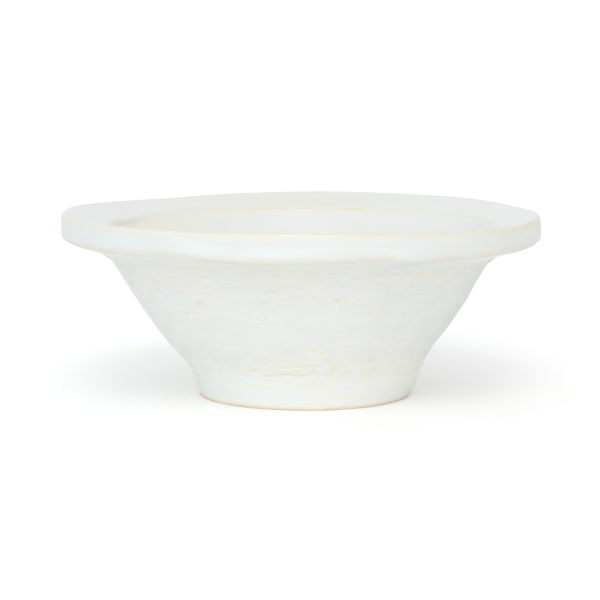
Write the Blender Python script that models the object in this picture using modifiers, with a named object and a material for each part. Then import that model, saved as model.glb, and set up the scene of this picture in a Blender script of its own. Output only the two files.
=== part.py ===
"""Hand-built stoneware berry bowl, modelled as the four clay elements that are luted together.

A foot ring carries a floor disc on an inner ledge. A leaning wall stands on the foot ring, and a
heavy dished rim ring lies on the wall's top edge. The bowl is hand shaped, so its foot stands a
little off the rim's axis. Units are metres, +Z is up, and the origin is on the rim's axis, on the
surface the bowl stands on.
"""

import math

import bpy

# Overall sizes
RIM_DIAMETER = 0.180
HEIGHT = 0.068
FOOT_DIAMETER = 0.080
FOOT_OFFSET = 0.002

# Rim ring: its top falls inwards, and its edge is a tall upright face with round corners
RIM_WIDTH = 0.018
RIM_FALL = 0.005
RIM_EDGE = 0.010
RIM_DEPTH = 0.014
RIM_TOP_ROUND = 0.0022
RIM_BOTTOM_ROUND = 0.0030
INNER_EDGE_ROUND = 0.0012

# Wall: an even thickness with a slight outward belly
WALL = 0.0055
BELLY = 0.0012

# Foot ring and floor disc
FOOT_HEIGHT = 0.013
FOOT_FLARE = 0.0053
FOOT_FLARE_AT_HALF_HEIGHT = 0.0018
FOOT_ROUND = 0.0008
FOOT_RECESS = 0.003
FOOT_RING_WIDTH = 0.010
LEDGE_WIDTH = 0.003
FLOOR_THICKNESS = 0.007

# Clearance at every luted joint
JOINT_GAP = 0.0003

# Smoothness of the turned forms
TURN_STEPS = 64
WALL_SEGMENTS = 7
CURVE_SEGMENTS = 5
ROUND_SEGMENTS = 3

# Finish
GLAZE_COLOUR = (0.80, 0.81, 0.78)
FOOT_COLOUR = (0.78, 0.77, 0.71)
GLAZE_ROUGHNESS = 0.45

# Heights and radii that follow from the sizes above
rim_radius = RIM_DIAMETER / 2
inner_edge_radius = rim_radius - RIM_WIDTH
inner_edge_height = HEIGHT - RIM_FALL
rim_seam = HEIGHT - RIM_DEPTH
wall_top = rim_seam - JOINT_GAP
wall_bottom = FOOT_HEIGHT + JOINT_GAP
foot_radius = FOOT_DIAMETER / 2
foot_top_radius = foot_radius + FOOT_FLARE
floor_radius = foot_radius - FOOT_RING_WIDTH
floor_top = FOOT_RECESS + FLOOR_THICKNESS

# The wall's outer line leaves the top of the foot and passes one wall thickness outside the inner edge
wall_run = inner_edge_radius - foot_top_radius
wall_rise = inner_edge_height - FOOT_HEIGHT
wall_lean = math.atan2(wall_run, wall_rise) + math.asin(WALL / math.hypot(wall_run, wall_rise))


def outer_radius(height):
    """Radius of the wall's outer face: the leaning line plus a parabola for the belly."""
    share = (height - FOOT_HEIGHT) / wall_rise
    line = foot_top_radius + (height - FOOT_HEIGHT) * math.tan(wall_lean)
    return line + BELLY * 4 * share * (1 - share)


def inner_radius(height):
    """Radius of the wall's inner face, one wall thickness inside the outer one."""
    return outer_radius(height) - WALL / math.cos(wall_lean)


def spread(start, end, segments):
    """Evenly spaced values from start to end, both included."""
    return [start + (end - start) * step / segments for step in range(segments + 1)]


def bent_line(start, control, end, segments):
    """Points of a quadratic curve from start to end, pulled towards control."""
    points = []
    for share in spread(0.0, 1.0, segments):
        weights = ((1 - share) ** 2, 2 * share * (1 - share), share ** 2)
        radius = sum(w * p[0] for w, p in zip(weights, (start, control, end)))
        height = sum(w * p[1] for w, p in zip(weights, (start, control, end)))
        points.append((radius, height))
    return points


def towards(point, target, distance):
    """The point at this distance from point on the way to target."""
    share = distance / math.dist(point, target)
    return tuple(a + (b - a) * share for a, b in zip(point, target))


def rounded(corner, before, after, size):
    """A corner eased by a quadratic curve that starts and ends one size away from it."""
    start = towards(corner, before, size)
    end = towards(corner, after, size)
    return bent_line(start, corner, end, ROUND_SEGMENTS)


def arc(centre, size, angles):
    """Points of a circle at these angles, in degrees up from the outward direction."""
    turns = [math.radians(angle) for angle in angles]
    return [(centre[0] + size * math.cos(t), centre[1] + size * math.sin(t)) for t in turns]


def slope_past(point, centre, size, side):
    """Slope, in degrees, of the line from point that touches a circle on its top (1) or bottom (-1) side."""
    rise = centre[1] - point[1]
    run = centre[0] - point[0]
    return math.degrees(math.atan2(rise, run) + side * math.asin(size / math.hypot(rise, run)))


def clear_scene():
    """Start from an empty scene."""
    for thing in list(bpy.data.objects):
        bpy.data.objects.remove(thing, do_unlink=True)


def ceramic(name, colour):
    """A satin glazed ceramic finish."""
    material = bpy.data.materials.new(name)
    material.use_nodes = True
    shader = material.node_tree.nodes["Principled BSDF"]
    shader.inputs["Base Color"].default_value = (*colour, 1.0)
    shader.inputs["Roughness"].default_value = GLAZE_ROUGHNESS
    shader.inputs["Metallic"].default_value = 0.0
    return material


def turned(name, profile, closed, material, collection, parent):
    """Turn a profile of (radius, height) points, run down its outer side, around the upright axis.

    A closed profile makes a ring, and an open one that starts and ends on the axis makes a disc.
    """
    points = [(radius, 0.0, height) for radius, height in profile]
    edges = [(i, i + 1) for i in range(len(points) - 1)]
    if closed:
        edges.append((len(points) - 1, 0))
    mesh = bpy.data.meshes.new(name)
    mesh.from_pydata(points, edges, [])
    mesh.materials.append(material)
    piece = bpy.data.objects.new(name, mesh)
    collection.objects.link(piece)
    piece.parent = parent
    screw = piece.modifiers.new("turn", "SCREW")
    screw.axis = "Z"
    screw.angle = math.tau
    screw.steps = TURN_STEPS
    screw.render_steps = TURN_STEPS
    screw.use_smooth_shade = True
    screw.use_merge_vertices = True
    screw.merge_threshold = 0.00001
    return piece


def shift_lower_end(piece, bottom, top, shift, collection):
    """Slide the lower end of an upright piece along +X and leave its top in place, with a straight cage."""
    cage = bpy.data.lattices.new(piece.name + "_cage")
    cage.interpolation_type_u = "KEY_LINEAR"
    cage.interpolation_type_v = "KEY_LINEAR"
    cage.interpolation_type_w = "KEY_LINEAR"
    for point in cage.points:
        if point.co.z < 0:
            point.co_deform.x += shift / RIM_DIAMETER
    guide = bpy.data.objects.new(cage.name, cage)
    guide.location.z = (bottom + top) / 2
    guide.scale = (RIM_DIAMETER, RIM_DIAMETER, top - bottom)
    guide.hide_render = True
    guide.display_type = "WIRE"
    collection.objects.link(guide)
    lattice = piece.modifiers.new("shift", "LATTICE")
    lattice.object = guide


def rim_profile():
    """Dished top, upright outer edge with round corners, sloping underside, flat seam and inner face."""
    inner_edge = (inner_edge_radius, inner_edge_height)
    seam_outer = (outer_radius(rim_seam), rim_seam)
    top_centre = (rim_radius - RIM_TOP_ROUND, HEIGHT - RIM_TOP_ROUND)
    bottom_centre = (rim_radius - RIM_BOTTOM_ROUND, HEIGHT - RIM_EDGE + RIM_BOTTOM_ROUND)
    dish = slope_past(inner_edge, top_centre, RIM_TOP_ROUND, 1)
    under = slope_past(seam_outer, bottom_centre, RIM_BOTTOM_ROUND, -1)
    top_corner = arc(top_centre, RIM_TOP_ROUND, [90 + dish, *spread(90, 0, ROUND_SEGMENTS)])
    bottom_corner = arc(bottom_centre, RIM_BOTTOM_ROUND, spread(0, under - 90, ROUND_SEGMENTS))
    heights = spread(rim_seam, inner_edge_height, ROUND_SEGMENTS)[:-1]
    inner_face = [(inner_radius(height), height) for height in heights]
    return [
        *rounded(inner_edge, inner_face[-1], top_corner[0], INNER_EDGE_ROUND),
        *top_corner,
        *bottom_corner,
        seam_outer,
        *inner_face,
    ]


def wall_profile():
    """Outer face downwards, then inner face upwards, with flat seams at both ends."""
    heights = spread(wall_top, wall_bottom, WALL_SEGMENTS)
    outer_face = [(outer_radius(height), height) for height in heights]
    inner_face = [(inner_radius(height), height) for height in reversed(heights)]
    return outer_face + inner_face


def foot_profile():
    """Flared band, flat foot, ledge for the floor disc, and a cove that meets the wall's inner face."""
    band_top = (foot_top_radius, FOOT_HEIGHT)
    band_control = (foot_radius + FOOT_FLARE_AT_HALF_HEIGHT, FOOT_HEIGHT / 2)
    band_foot = (foot_radius, FOOT_ROUND)
    band = bent_line(band_top, band_control, band_foot, CURVE_SEGMENTS)
    recess_radius = floor_radius - LEDGE_WIDTH
    seat_radius = floor_radius + JOINT_GAP
    seat_height = FOOT_RECESS - JOINT_GAP
    cove_top = (inner_radius(FOOT_HEIGHT), FOOT_HEIGHT)
    cove_control = (inner_radius(floor_top), floor_top)
    cove = bent_line((seat_radius, floor_top), cove_control, cove_top, CURVE_SEGMENTS)
    return [
        *band,
        (foot_radius - FOOT_ROUND, 0.0),
        (recess_radius, 0.0),
        (recess_radius, seat_height),
        (seat_radius, seat_height),
        *cove,
    ]


def floor_profile():
    """A plain slab: flat top, upright edge, flat underside."""
    return [
        (0.0, floor_top),
        (floor_radius, floor_top),
        (floor_radius, FOOT_RECESS),
        (0.0, FOOT_RECESS),
    ]


def new_collection(name):
    """A collection in the scene."""
    collection = bpy.data.collections.new(name)
    bpy.context.scene.collection.children.link(collection)
    return collection


def new_centre(name, offset, collection):
    """An empty on the floor, this far along +X, that carries the pieces turned around it."""
    centre = bpy.data.objects.new(name, None)
    centre.location.x = offset
    collection.objects.link(centre)
    return centre


def build_bowl():
    """Make the four clay elements: the rim and wall on the rim's centre, the foot and floor on their own."""
    bowl = new_collection("berry_bowl")
    guides = new_collection("shaping_guides")
    rim_centre = new_centre("rim_centre", 0.0, bowl)
    foot_centre = new_centre("foot_centre", FOOT_OFFSET, bowl)
    turned("rim_flange", rim_profile(), True, ceramic("rim_glaze", GLAZE_COLOUR), bowl, rim_centre)
    wall = turned("bowl_wall", wall_profile(), True, ceramic("wall_glaze", GLAZE_COLOUR), bowl, rim_centre)
    shift_lower_end(wall, wall_bottom, wall_top, FOOT_OFFSET, guides)
    turned("foot_ring", foot_profile(), True, ceramic("foot_glaze", FOOT_COLOUR), bowl, foot_centre)
    turned("floor_disc", floor_profile(), False, ceramic("floor_glaze", GLAZE_COLOUR), bowl, foot_centre)


clear_scene()
build_bowl()
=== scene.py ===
"""Visible surfaces of a hand-built stoneware berry bowl, on a white studio floor.

The bowl's section is one path: up the inside under the rim, over the dished rim, down its edge and
underside, down the rough wall and the smooth foot band, and under the foot. A second path runs up the
inside of the wall. Each piece is a stretch of these paths carried around the upright axis and made uneven
by hand shaping. Its glaze thickness is stored on the points, so that the finish can break to amber where the
glaze is thin. Painted shade and painted light are stored on the points as well, as values that darken the
glaze or make it cooler and lighter.

Bearings are degrees around the bowl from the front towards the right.
"""

import math
from collections import namedtuple
from functools import reduce

import bpy
import numpy as np
from bpy.props import FloatProperty, FloatVectorProperty, PointerProperty
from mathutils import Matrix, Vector


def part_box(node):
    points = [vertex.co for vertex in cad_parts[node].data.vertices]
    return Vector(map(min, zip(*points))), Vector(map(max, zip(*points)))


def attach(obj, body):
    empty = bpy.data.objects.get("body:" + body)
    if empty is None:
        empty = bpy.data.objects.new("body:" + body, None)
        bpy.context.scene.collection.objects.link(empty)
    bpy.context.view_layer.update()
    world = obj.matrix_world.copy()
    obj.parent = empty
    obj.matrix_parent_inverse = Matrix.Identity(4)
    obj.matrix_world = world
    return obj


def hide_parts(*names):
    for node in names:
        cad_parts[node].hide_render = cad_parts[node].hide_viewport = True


bl_info = {
    "name": "Berry Bowl",
    "version": (1, 0, 0),
    "blender": (4, 5, 0),
    "location": "3D View > Sidebar > Berry Bowl",
    "description": "Makes the glazed surfaces of a hand-built berry bowl and its studio stage",
    "category": "Object",
}

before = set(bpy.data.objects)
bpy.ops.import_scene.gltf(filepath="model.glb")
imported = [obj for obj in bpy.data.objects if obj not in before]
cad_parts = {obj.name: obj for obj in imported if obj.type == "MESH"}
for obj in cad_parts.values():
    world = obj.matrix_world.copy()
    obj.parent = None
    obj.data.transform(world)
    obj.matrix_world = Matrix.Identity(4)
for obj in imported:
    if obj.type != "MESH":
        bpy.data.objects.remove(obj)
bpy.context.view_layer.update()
RIM_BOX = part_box("rim_flange")
FOOT_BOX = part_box("foot_ring")
FLOOR_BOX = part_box("floor_disc")

MM = 0.001
COLUMNS = 832
TURN = np.arange(COLUMNS)[None, :] / COLUMNS
ANGLE = math.tau * TURN
BAKE_MAP = "OFBake"

# How far each column faces the right, and either side
RIGHT = np.clip(np.cos(ANGLE), 0, 1) ** 2
SIDES = np.cos(ANGLE) ** 2

# Rows of points along the stretches of the section that make up each piece
RIM_ROWS = 118
WALL_ROWS = (102, 16)
FOOT_ROWS = (76, 14)
FLOOR_ROWS = (30, 2, 20)

# Points of the curve that eases a corner of the section
CURVE_POINTS = 17

# Finger rings inside the bowl, and the width over which they fade at a joint
RING_SPACING = 6.5 * MM
RING_DEPTH = 0.05 * MM
RING_FADE = 6 * MM

# Share of the finish's cells that hold a speck
MANY_SPECKS = 0.02
FEW_SPECKS = 0.01

# Names of the glaze's colours, and the colour of plain light
COLOURS = ("White", "Cool", "Warm", "Cream", "Amber")
WHITE = (1.0, 1.0, 1.0, 1.0)

# Tears in the front of the wall: bearing from the front in degrees, height and half length in millimetres
FRONT_TEARS = (
    (-62, 38.6, 1.0), (-63, 41.2, 0.9), (-55, 45.6, 0.8), (-40, 44.6, 1.4), (-41, 36.8, 1.6),
    (-40, 50.0, 1.8), (-37, 53.0, 2.0), (-30, 44.4, 2.4), (-34, 41.0, 1.8), (-29, 50.8, 2.2),
    (-15, 52.0, 3.0), (-11, 51.6, 1.8), (-7, 52.2, 2.0), (-8, 46.4, 1.3), (-11, 42.0, 1.1),
    (-4, 43.4, 0.8), (15, 51.4, 1.0), (23, 52.4, 1.9), (27, 52.6, 1.1), (32, 53.2, 1.5),
    (12, 48.2, 2.0), (19, 46.4, 2.6), (4, 44.0, 1.5), (11, 43.0, 1.5), (14, 43.2, 1.3),
    (23, 40.0, 0.8), (25, 42.2, 1.1), (23, 37.2, 1.5), (37, 41.4, 0.8), (39, 49.4, 1.4),
    (49, 50.6, 1.2), (54, 49.0, 1.7), (51, 47.0, 1.6), (20, 28.5, 0.6), (-33, 23.7, 1.0),
    (-11, 21.1, 0.8), (-16, 18.2, 1.0), (-54, 14.4, 1.0), (-43, 13.4, 1.3), (-45, 11.7, 1.2),
    (-33, 14.4, 1.6), (-26, 14.8, 1.4), (-24, 15.0, 1.0), (-8, 19.0, 1.0), (-4, 21.7, 0.8),
    (2, 25.7, 1.0), (4, 23.7, 2.6), (8, 22.5, 1.0), (6, 21.7, 1.0), (15, 23.7, 0.7),
    (15, 21.7, 0.7), (12, 15.9, 1.6), (12, 13.9, 1.6), (19, 14.4, 1.5), (23, 12.7, 1.6),
    (28, 14.8, 0.9), (34, 13.4, 1.0), (43, 15.6, 1.7), (49, 17.6, 1.8), (25, 18.5, 0.7),
    (17, 17.2, 0.9), (36, 16.5, 0.7), (42, 21.5, 1.6), (52, 13.2, 1.2), (55, 15.9, 1.2),
    (44, 49.6, 1.3), (35, 47.0, 1.0), (54, 18.3, 1.6), (40, 13.8, 1.3), (43, 52.4, 0.9),
)

# A path has marks at its corners, a run has directions out of the clay, a skin has shape and glaze values.
# One of the glaze values is painted shade, and the pooled glaze value also carries painted light.
Path = namedtuple("Path", "length radius height marks")
Run = namedtuple("Run", "length radius height out_radius out_height")
Skin = namedtuple("Skin", "relief lift thin pool warm deep scrape bare")
GLAZE = Skin._fields[2:]


class BowlSizes(bpy.types.PropertyGroup):
    """Sizes of the bowl's section; the overall ones come from the construction model."""

    rim_radius: FloatProperty(
        name="Rim radius", description="Axis to the rim's widest point",
        default=RIM_BOX[1].x, unit="LENGTH")
    height: FloatProperty(
        name="Height", description="Table to the top of the rim",
        default=RIM_BOX[1].z, unit="LENGTH")
    rim_width: FloatProperty(
        name="Rim width", description="Outer edge of the rim to the edge of the mouth",
        default=0.018, unit="LENGTH")
    rim_fall: FloatProperty(
        name="Rim fall", description="How far the rim's top falls towards the mouth",
        default=0.005, unit="LENGTH")
    rim_edge: FloatProperty(
        name="Rim edge", description="Height of the rim's outer edge",
        default=0.0092, unit="LENGTH")
    rim_seam: FloatProperty(
        name="Rim seam", description="Height of the joint between the rim and the wall",
        default=RIM_BOX[0].z, unit="LENGTH")
    wall: FloatProperty(
        name="Wall", description="Thickness of the wall",
        default=0.0055, unit="LENGTH")
    belly: FloatProperty(
        name="Belly", description="How far the wall bows outwards",
        default=0.0004, unit="LENGTH")
    foot_height: FloatProperty(
        name="Foot height", description="Table to the joint between the foot band and the wall",
        default=FOOT_BOX[1].z, unit="LENGTH")
    foot_radius: FloatProperty(
        name="Foot radius", description="Radius of the foot on the table",
        default=0.040, unit="LENGTH")
    foot_offset: FloatProperty(
        name="Foot offset", description="How far the foot stands to the right of the rim's axis",
        default=(FOOT_BOX[0].x + FOOT_BOX[1].x) / 2, unit="LENGTH")
    floor_radius: FloatProperty(
        name="Floor radius", description="Radius of the floor disc",
        default=(FLOOR_BOX[1].x - FLOOR_BOX[0].x) / 2, unit="LENGTH")
    floor_top: FloatProperty(
        name="Floor top", description="Height of the inside floor",
        default=FLOOR_BOX[1].z, unit="LENGTH")
    recess: FloatProperty(
        name="Recess", description="Depth of the hollow under the foot",
        default=FLOOR_BOX[0].z, unit="LENGTH")
    ledge: FloatProperty(
        name="Ledge", description="Width of the foot ring's ledge under the floor disc",
        default=0.003, unit="LENGTH")


class BowlFinish(bpy.types.PropertyGroup):
    """Colours and shine of the glaze and the bare clay."""

    white: FloatVectorProperty(
        name="White", description="Glaze at its usual thickness",
        subtype="COLOR", size=3, min=0, max=1, default=(0.912, 0.936, 0.907))
    # Also painted light: the cooler, lighter colour of the lips beside the tears and of the bowl's left
    # side, as if lit.
    cool: FloatVectorProperty(
        name="Cool white", description="Glaze where it has pooled thick",
        subtype="COLOR", size=3, min=0, max=1, default=(0.883, 0.950, 0.943))
    # A warmer, darker tone; on the wall's right side and the rim's right end it is painted shade.
    warm: FloatVectorProperty(
        name="Warm white", description="Glaze on the rim's top and inside the bowl",
        subtype="COLOR", size=3, min=0, max=1, default=(0.838, 0.838, 0.791))
    cream: FloatVectorProperty(
        name="Cream", description="Glaze that has begun to thin",
        subtype="COLOR", size=3, min=0, max=1, default=(0.930, 0.914, 0.815))
    amber: FloatVectorProperty(
        name="Amber", description="Glaze broken over an edge or a pit",
        subtype="COLOR", size=3, min=0, max=1, default=(0.872, 0.803, 0.606))
    clay: FloatVectorProperty(
        name="Clay", description="Bare fired clay under the foot",
        subtype="COLOR", size=3, min=0, max=1, default=(0.92, 0.80, 0.70))
    # Painted shade: the share of lightness the glaze loses where the painted shade value is high; where it
    # is low, painted light.
    deepening: FloatProperty(
        name="Deepening", description="How much lightness the glaze loses where it lies deepest",
        subtype="FACTOR", min=0, max=1, default=0.15)
    roughness: FloatProperty(
        name="Roughness", description="Roughness of the satin glaze",
        subtype="FACTOR", min=0, max=1, default=0.42)


class BowlStage(bpy.types.PropertyGroup):
    """Camera and light of the studio shot."""

    distance: FloatProperty(
        name="Camera distance", description="Camera to the point it looks at",
        default=0.950, unit="LENGTH")
    pitch: FloatProperty(
        name="Camera pitch", description="How far the camera looks down",
        default=math.radians(7.41), unit="ROTATION")
    aim_height: FloatProperty(
        name="Aim height", description="Height of the point the camera looks at",
        default=0.0351, unit="LENGTH")
    aim_side: FloatProperty(
        name="Aim side", description="How far to the right of the axis the camera looks",
        default=-0.0004, unit="LENGTH")
    lens: FloatProperty(
        name="Lens", description="Focal length", default=152.0, unit="CAMERA")
    floor_colour: FloatVectorProperty(
        name="Floor", description="Colour of the studio floor",
        subtype="COLOR", size=3, min=0, max=1, default=(0.948, 0.95, 0.957))
    floor_lift: FloatProperty(
        name="Floor lift", description="White added to the floor where the camera sees it",
        default=0.110)
    sky: FloatProperty(
        name="Sky", description="Strength of the soft light all round", default=0.900)
    sky_fall: FloatProperty(
        name="Sky fall", description="How much of the soft light is missing at the sides", default=0.40)
    key: FloatProperty(
        name="Key", description="Strength of the light from above the camera", default=0.46)
    fill: FloatProperty(
        name="Fill", description="Strength of the broad low light from the front", default=0.66)
    side: FloatProperty(
        name="Side", description="Strength of the cool light from the left", default=0.10)


def ease(value):
    """Smooth step of a value held between 0 and 1: 3 v^2 - 2 v^3."""
    held = np.clip(value, 0.0, 1.0)
    return held * held * (3.0 - 2.0 * held)


def bell(distance, width):
    """A bell of height 1 around no distance: exp(-(distance / width)^2)."""
    return np.exp(-(distance / width) ** 2)


def band(distance, rise, fall):
    """A strip: 0 before no distance, a smooth rise to 1, and from there the falling half of a bell."""
    return ease(distance / rise) * bell(np.maximum(distance - rise, 0.0), fall)


def most(*values):
    """The greatest of several arrays, point by point."""
    return reduce(np.maximum, values)


def drift(along, cells, seed):
    """Smooth noise from -1 to 1 on a sheet that closes around: random values on a lattice, eased between."""
    columns, rows = cells
    values = np.random.default_rng(seed).uniform(-1.0, 1.0, (columns, rows + 2))
    u = TURN * columns
    v = np.clip(along, 0.0, 1.0) * rows
    column = np.floor(u).astype(int)
    row = np.floor(v).astype(int)
    to_right = ease(u - column)
    to_top = ease(v - row)
    left = column % columns
    right = (column + 1) % columns
    low = values[left, row] * (1 - to_right) + values[right, row] * to_right
    high = values[left, row + 1] * (1 - to_right) + values[right, row + 1] * to_right
    return low * (1 - to_top) + high * to_top


def pits(around, along, cells, density, seed):
    """Round dents from 0 to 1, at most one in each cell of a lattice that closes around.

    A dent is (1 - d^2)^2 of the distance d from a random point of its cell, in units of its random size,
    times a random depth. A cell holds one where its random chance is below the density there, and its onset
    says how soon it is full as the density grows.
    """
    columns, rows = cells
    random = np.random.default_rng(seed)
    shape = (columns, rows)
    middle_u = random.uniform(0.2, 0.8, shape)
    middle_v = random.uniform(0.2, 0.8, shape)
    size = random.uniform(0.28, 0.62, shape)
    chance = random.uniform(0.0, 1.0, shape)
    depth = random.uniform(0.2, 0.9, shape)
    last_place = 0.999999
    onset = 6.0
    u = (around % 1.0) * columns
    v = np.clip(along, 0.0, last_place) * rows
    column = np.floor(u).astype(int)
    row = np.floor(v).astype(int)
    dents = np.zeros(np.broadcast(u, v).shape)
    for side in (-1, 0, 1):
        for step in (-1, 0, 1):
            there = (column + side) % columns
            level = np.clip(row + step, 0, rows - 1)
            across = u - (column + side + middle_u[there, level])
            upward = v - (level + middle_v[there, level])
            near = np.clip(1.0 - (across ** 2 + upward ** 2) / size[there, level] ** 2, 0.0, 1.0)
            held = np.clip((density - chance[there, level]) * onset, 0.0, 1.0)
            dents = np.maximum(dents, held * depth[there, level] * near ** 2)
    return dents


def rounded_path(corners):
    """Straight runs between corners (radius, height, round), with every inner corner eased by a curve.

    The curve is quadratic, and starts and ends one round away from its corner. Marks are the lengths at the
    middles of the corners.
    """
    points = np.array([corner[:2] for corner in corners])
    share = np.linspace(0.0, 1.0, CURVE_POINTS)[:, None]
    stretches = [points[:1]]
    for before, corner, after, size in zip(points, points[1:], points[2:], [c[2] for c in corners[1:]]):
        start = corner + size * (before - corner) / np.hypot(*(before - corner))
        end = corner + size * (after - corner) / np.hypot(*(after - corner))
        stretches.append((1 - share) ** 2 * start + 2 * share * (1 - share) * corner + share ** 2 * end)
    stretches.append(points[-1:])
    dense = np.vstack(stretches)
    length = np.concatenate([[0.0], np.cumsum(np.hypot(*np.diff(dense, axis=0).T))])
    inner = length[1 + CURVE_POINTS // 2:-1:CURVE_POINTS]
    marks = [0.0, *inner, length[-1]]
    return Path(length, dense[:, 0], dense[:, 1], marks)


def run_along(path, start, end, rows):
    """Evenly spaced points of a path from one length to another, with the directions out of the clay."""
    length = np.linspace(start, end, rows)
    reach = 0.02 * MM
    behind = np.clip(length - reach, path.length[0], path.length[-1])
    ahead = np.clip(length + reach, path.length[0], path.length[-1])
    lines = (path.radius, path.height)
    radius, height = (np.interp(length, path.length, line) for line in lines)
    radius_step, height_step = (
        np.interp(ahead, path.length, line) - np.interp(behind, path.length, line) for line in lines)
    size = np.hypot(radius_step, height_step)
    values = (length, radius, height, -height_step / size, radius_step / size)
    return Run(*(value[:, None] for value in values))


class Section:
    """The bowl's section as two paths, worked out from the sizes."""

    def __init__(self, sizes):
        self.sizes = sizes
        mouth = (sizes.rim_radius - sizes.rim_width, sizes.height - sizes.rim_fall)
        foot_flare = 5.3 * MM
        foot_top = sizes.foot_radius + foot_flare
        across = mouth[0] - foot_top
        rise = mouth[1] - sizes.foot_height
        lean = math.atan2(across, rise) + math.asin(sizes.wall / math.hypot(across, rise))
        self.slope = math.tan(lean)
        self.thickness = sizes.wall / math.cos(lean)
        self.foot_top = foot_top
        seam = sizes.rim_seam
        recess_radius = sizes.floor_radius - sizes.ledge
        # The rim's top corner stands above its height, because the curve that eases it passes lower
        self.outer = rounded_path([
            (self.wall_radius(seam) - self.thickness, seam, 0.0),
            (*mouth, 1.3 * MM),
            (sizes.rim_radius - 0.9 * MM, sizes.height + 0.7 * MM, 2.4 * MM),
            (sizes.rim_radius - 0.4 * MM, sizes.height - sizes.rim_edge, 3.0 * MM),
            (self.wall_radius(seam), seam, 5.0 * MM),
            (foot_top, sizes.foot_height, 1.5 * MM),
            (sizes.foot_radius + 1.8 * MM, sizes.foot_height * 0.5, 5.6 * MM),
            (sizes.foot_radius, 0.0, 0.28 * MM),
            (recess_radius, 0.0, 0.7 * MM),
            (recess_radius, sizes.recess, 0.4 * MM),
            (sizes.floor_radius, sizes.recess, 0.0),
        ])
        marks = self.outer.marks
        self.start, self.mouth, self.top_edge, self.low_edge, self.under_rim, self.groove = marks[:6]
        self.foot_edge, self.end = marks[7], marks[-1]
        self.inner = rounded_path([
            (sizes.floor_radius, sizes.floor_top, 0.0),
            (self.wall_radius(sizes.floor_top) - self.thickness, sizes.floor_top, 4.5 * MM),
            (self.wall_radius(seam) - self.thickness, seam, 0.0),
        ])
        self.inner_joint = float(np.interp(sizes.foot_height, self.inner.height, self.inner.length))

    def wall_radius(self, height):
        """Radius of the wall's outer line at a height, without its belly."""
        return self.foot_top + (height - self.sizes.foot_height) * self.slope

    def belly(self, height):
        """The wall's outward bow: a parabola between the foot band and the mouth."""
        top = self.sizes.height - self.sizes.rim_fall
        share = np.clip((height - self.sizes.foot_height) / (top - self.sizes.foot_height), 0.0, 1.0)
        return self.sizes.belly * 4 * share * (1 - share)


def bearing_from(bearing):
    """Degrees around from a bearing, which is itself given from the front towards the right."""
    return ((TURN - (bearing - 90.0) / 360.0 + 0.5) % 1.0 - 0.5) * 360.0


def facing(bearing, width):
    """A bell around a bearing: 1 there, falling off over a width in degrees."""
    return bell(bearing_from(bearing), width)


def around_only(cells, seed):
    """Smooth noise from -1 to 1 that changes only around the bowl."""
    return drift(np.zeros((1, 1)), (cells, 1), seed)


def rim_lift(height):
    """Lift of the hand-laid rim: long waves around, a raised front, and flats at the sides and the back.

    It fades away down the wall.
    """
    waves = -0.38 * np.cos(ANGLE) + 0.46 * np.sin(2 * ANGLE) - 0.12 * np.cos(2 * ANGLE)
    waves = waves - 0.19 * np.cos(3 * ANGLE) + 0.30 * np.cos(4 * ANGLE) + 0.40 * facing(0, 70)
    waves = waves - 0.40 * facing(107, 13) + 0.18 * facing(134, 9)
    waves = waves - 0.40 * facing(-142, 24) - 0.40 * facing(-87, 9)
    fade_start = 30 * MM
    fade_span = 28 * MM
    return waves * MM * ease((height - fade_start) / fade_span)


def placed(section, run, skin):
    """Points of a run carried around the axis: pushed out by the relief, lifted, and shifted at the foot.

    The lowest part of the foot is also pared away a little on the right.
    """
    radius = run.radius + run.out_radius * skin.relief
    height = run.height + run.out_height * skin.relief + skin.lift
    shift_top = 26 * MM
    shift_span = 15 * MM
    pared_height = 4.5 * MM
    pared_depth = 1.15 * MM
    shift = section.sizes.foot_offset * ease((shift_top - run.height) / shift_span)
    pared = pared_depth * ease((pared_height - run.height) / pared_height) * RIGHT
    shift = shift - pared * run.radius / section.sizes.foot_radius
    return np.stack([radius * np.cos(ANGLE) + shift, radius * np.sin(ANGLE), height], axis=-1)


def rim_lines(mouth, top, low, uneven, smear):
    """Where the rim's glaze is thin: along its top edge, its low edge, its mouth and a short second line.

    The places are millimetres along the section past the mouth, the top edge and the low edge.
    """
    top_line = band(top + 1.3, 0.7, 2.8 + 1.4 * facing(63, 13)) * uneven
    top_line = top_line * (0.85 + 0.15 * np.cos(ANGLE)) * (1 - 0.16 * facing(32, 28))
    top_line = top_line * (1 - 0.7 * facing(-92, 13)) * (1 - 0.75 * facing(92, 20))
    low_line = band(1.0 - low, 0.6, 1.9) * uneven * (1 - smear) * (1 - 0.4 * facing(84, 16))
    mouth_line = bell(mouth, 1.2) * uneven * (0.48 + 0.52 * facing(182, 32))
    mouth_line = mouth_line * (1 - 0.55 * facing(103, 22)) * (1 - 0.8 * facing(-96, 15))
    second_line = bell(top - 2.6, 0.5) * facing(33, 7)
    return most(0.92 * top_line, 0.66 * low_line, 0.88 * mouth_line, 0.35 * second_line)


def rim_shape(mouth, top, low, ripple, drop):
    """Relief and lift of the rim in millimetres, with a wavy low edge, one drop and an uneven mouth."""
    pushed_in = 1.3 * facing(-95, 28) * bell(mouth, 3.5)
    leaning = 0.25 * np.cos(ANGLE) * bell(top - 1.5, 4.0)
    hollow = 0.6 * facing(80, 32) * bell(low - 5.0, 4.0)
    relief = 0.70 * drop + ripple * bell(low, 2.2) + pushed_in - leaning - hollow
    front_sag = 1.1 * facing(-7, 17) * bell(low, 3.0)
    front_crest = 0.35 * facing(0, 70) * bell(top, 4.0)
    mouth_wave = 0.75 * np.cos(3 * (ANGLE - math.radians(20))) + 0.8 * facing(97, 24)
    mouth_wave = mouth_wave - 0.75 * facing(-113, 12) + 0.5 * facing(-155, 26)
    mouth_wave = mouth_wave + 0.2 * facing(172, 14) - 0.55 * facing(130, 16)
    return relief, front_crest - front_sag + mouth_wave * bell(mouth, 5.0)


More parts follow.
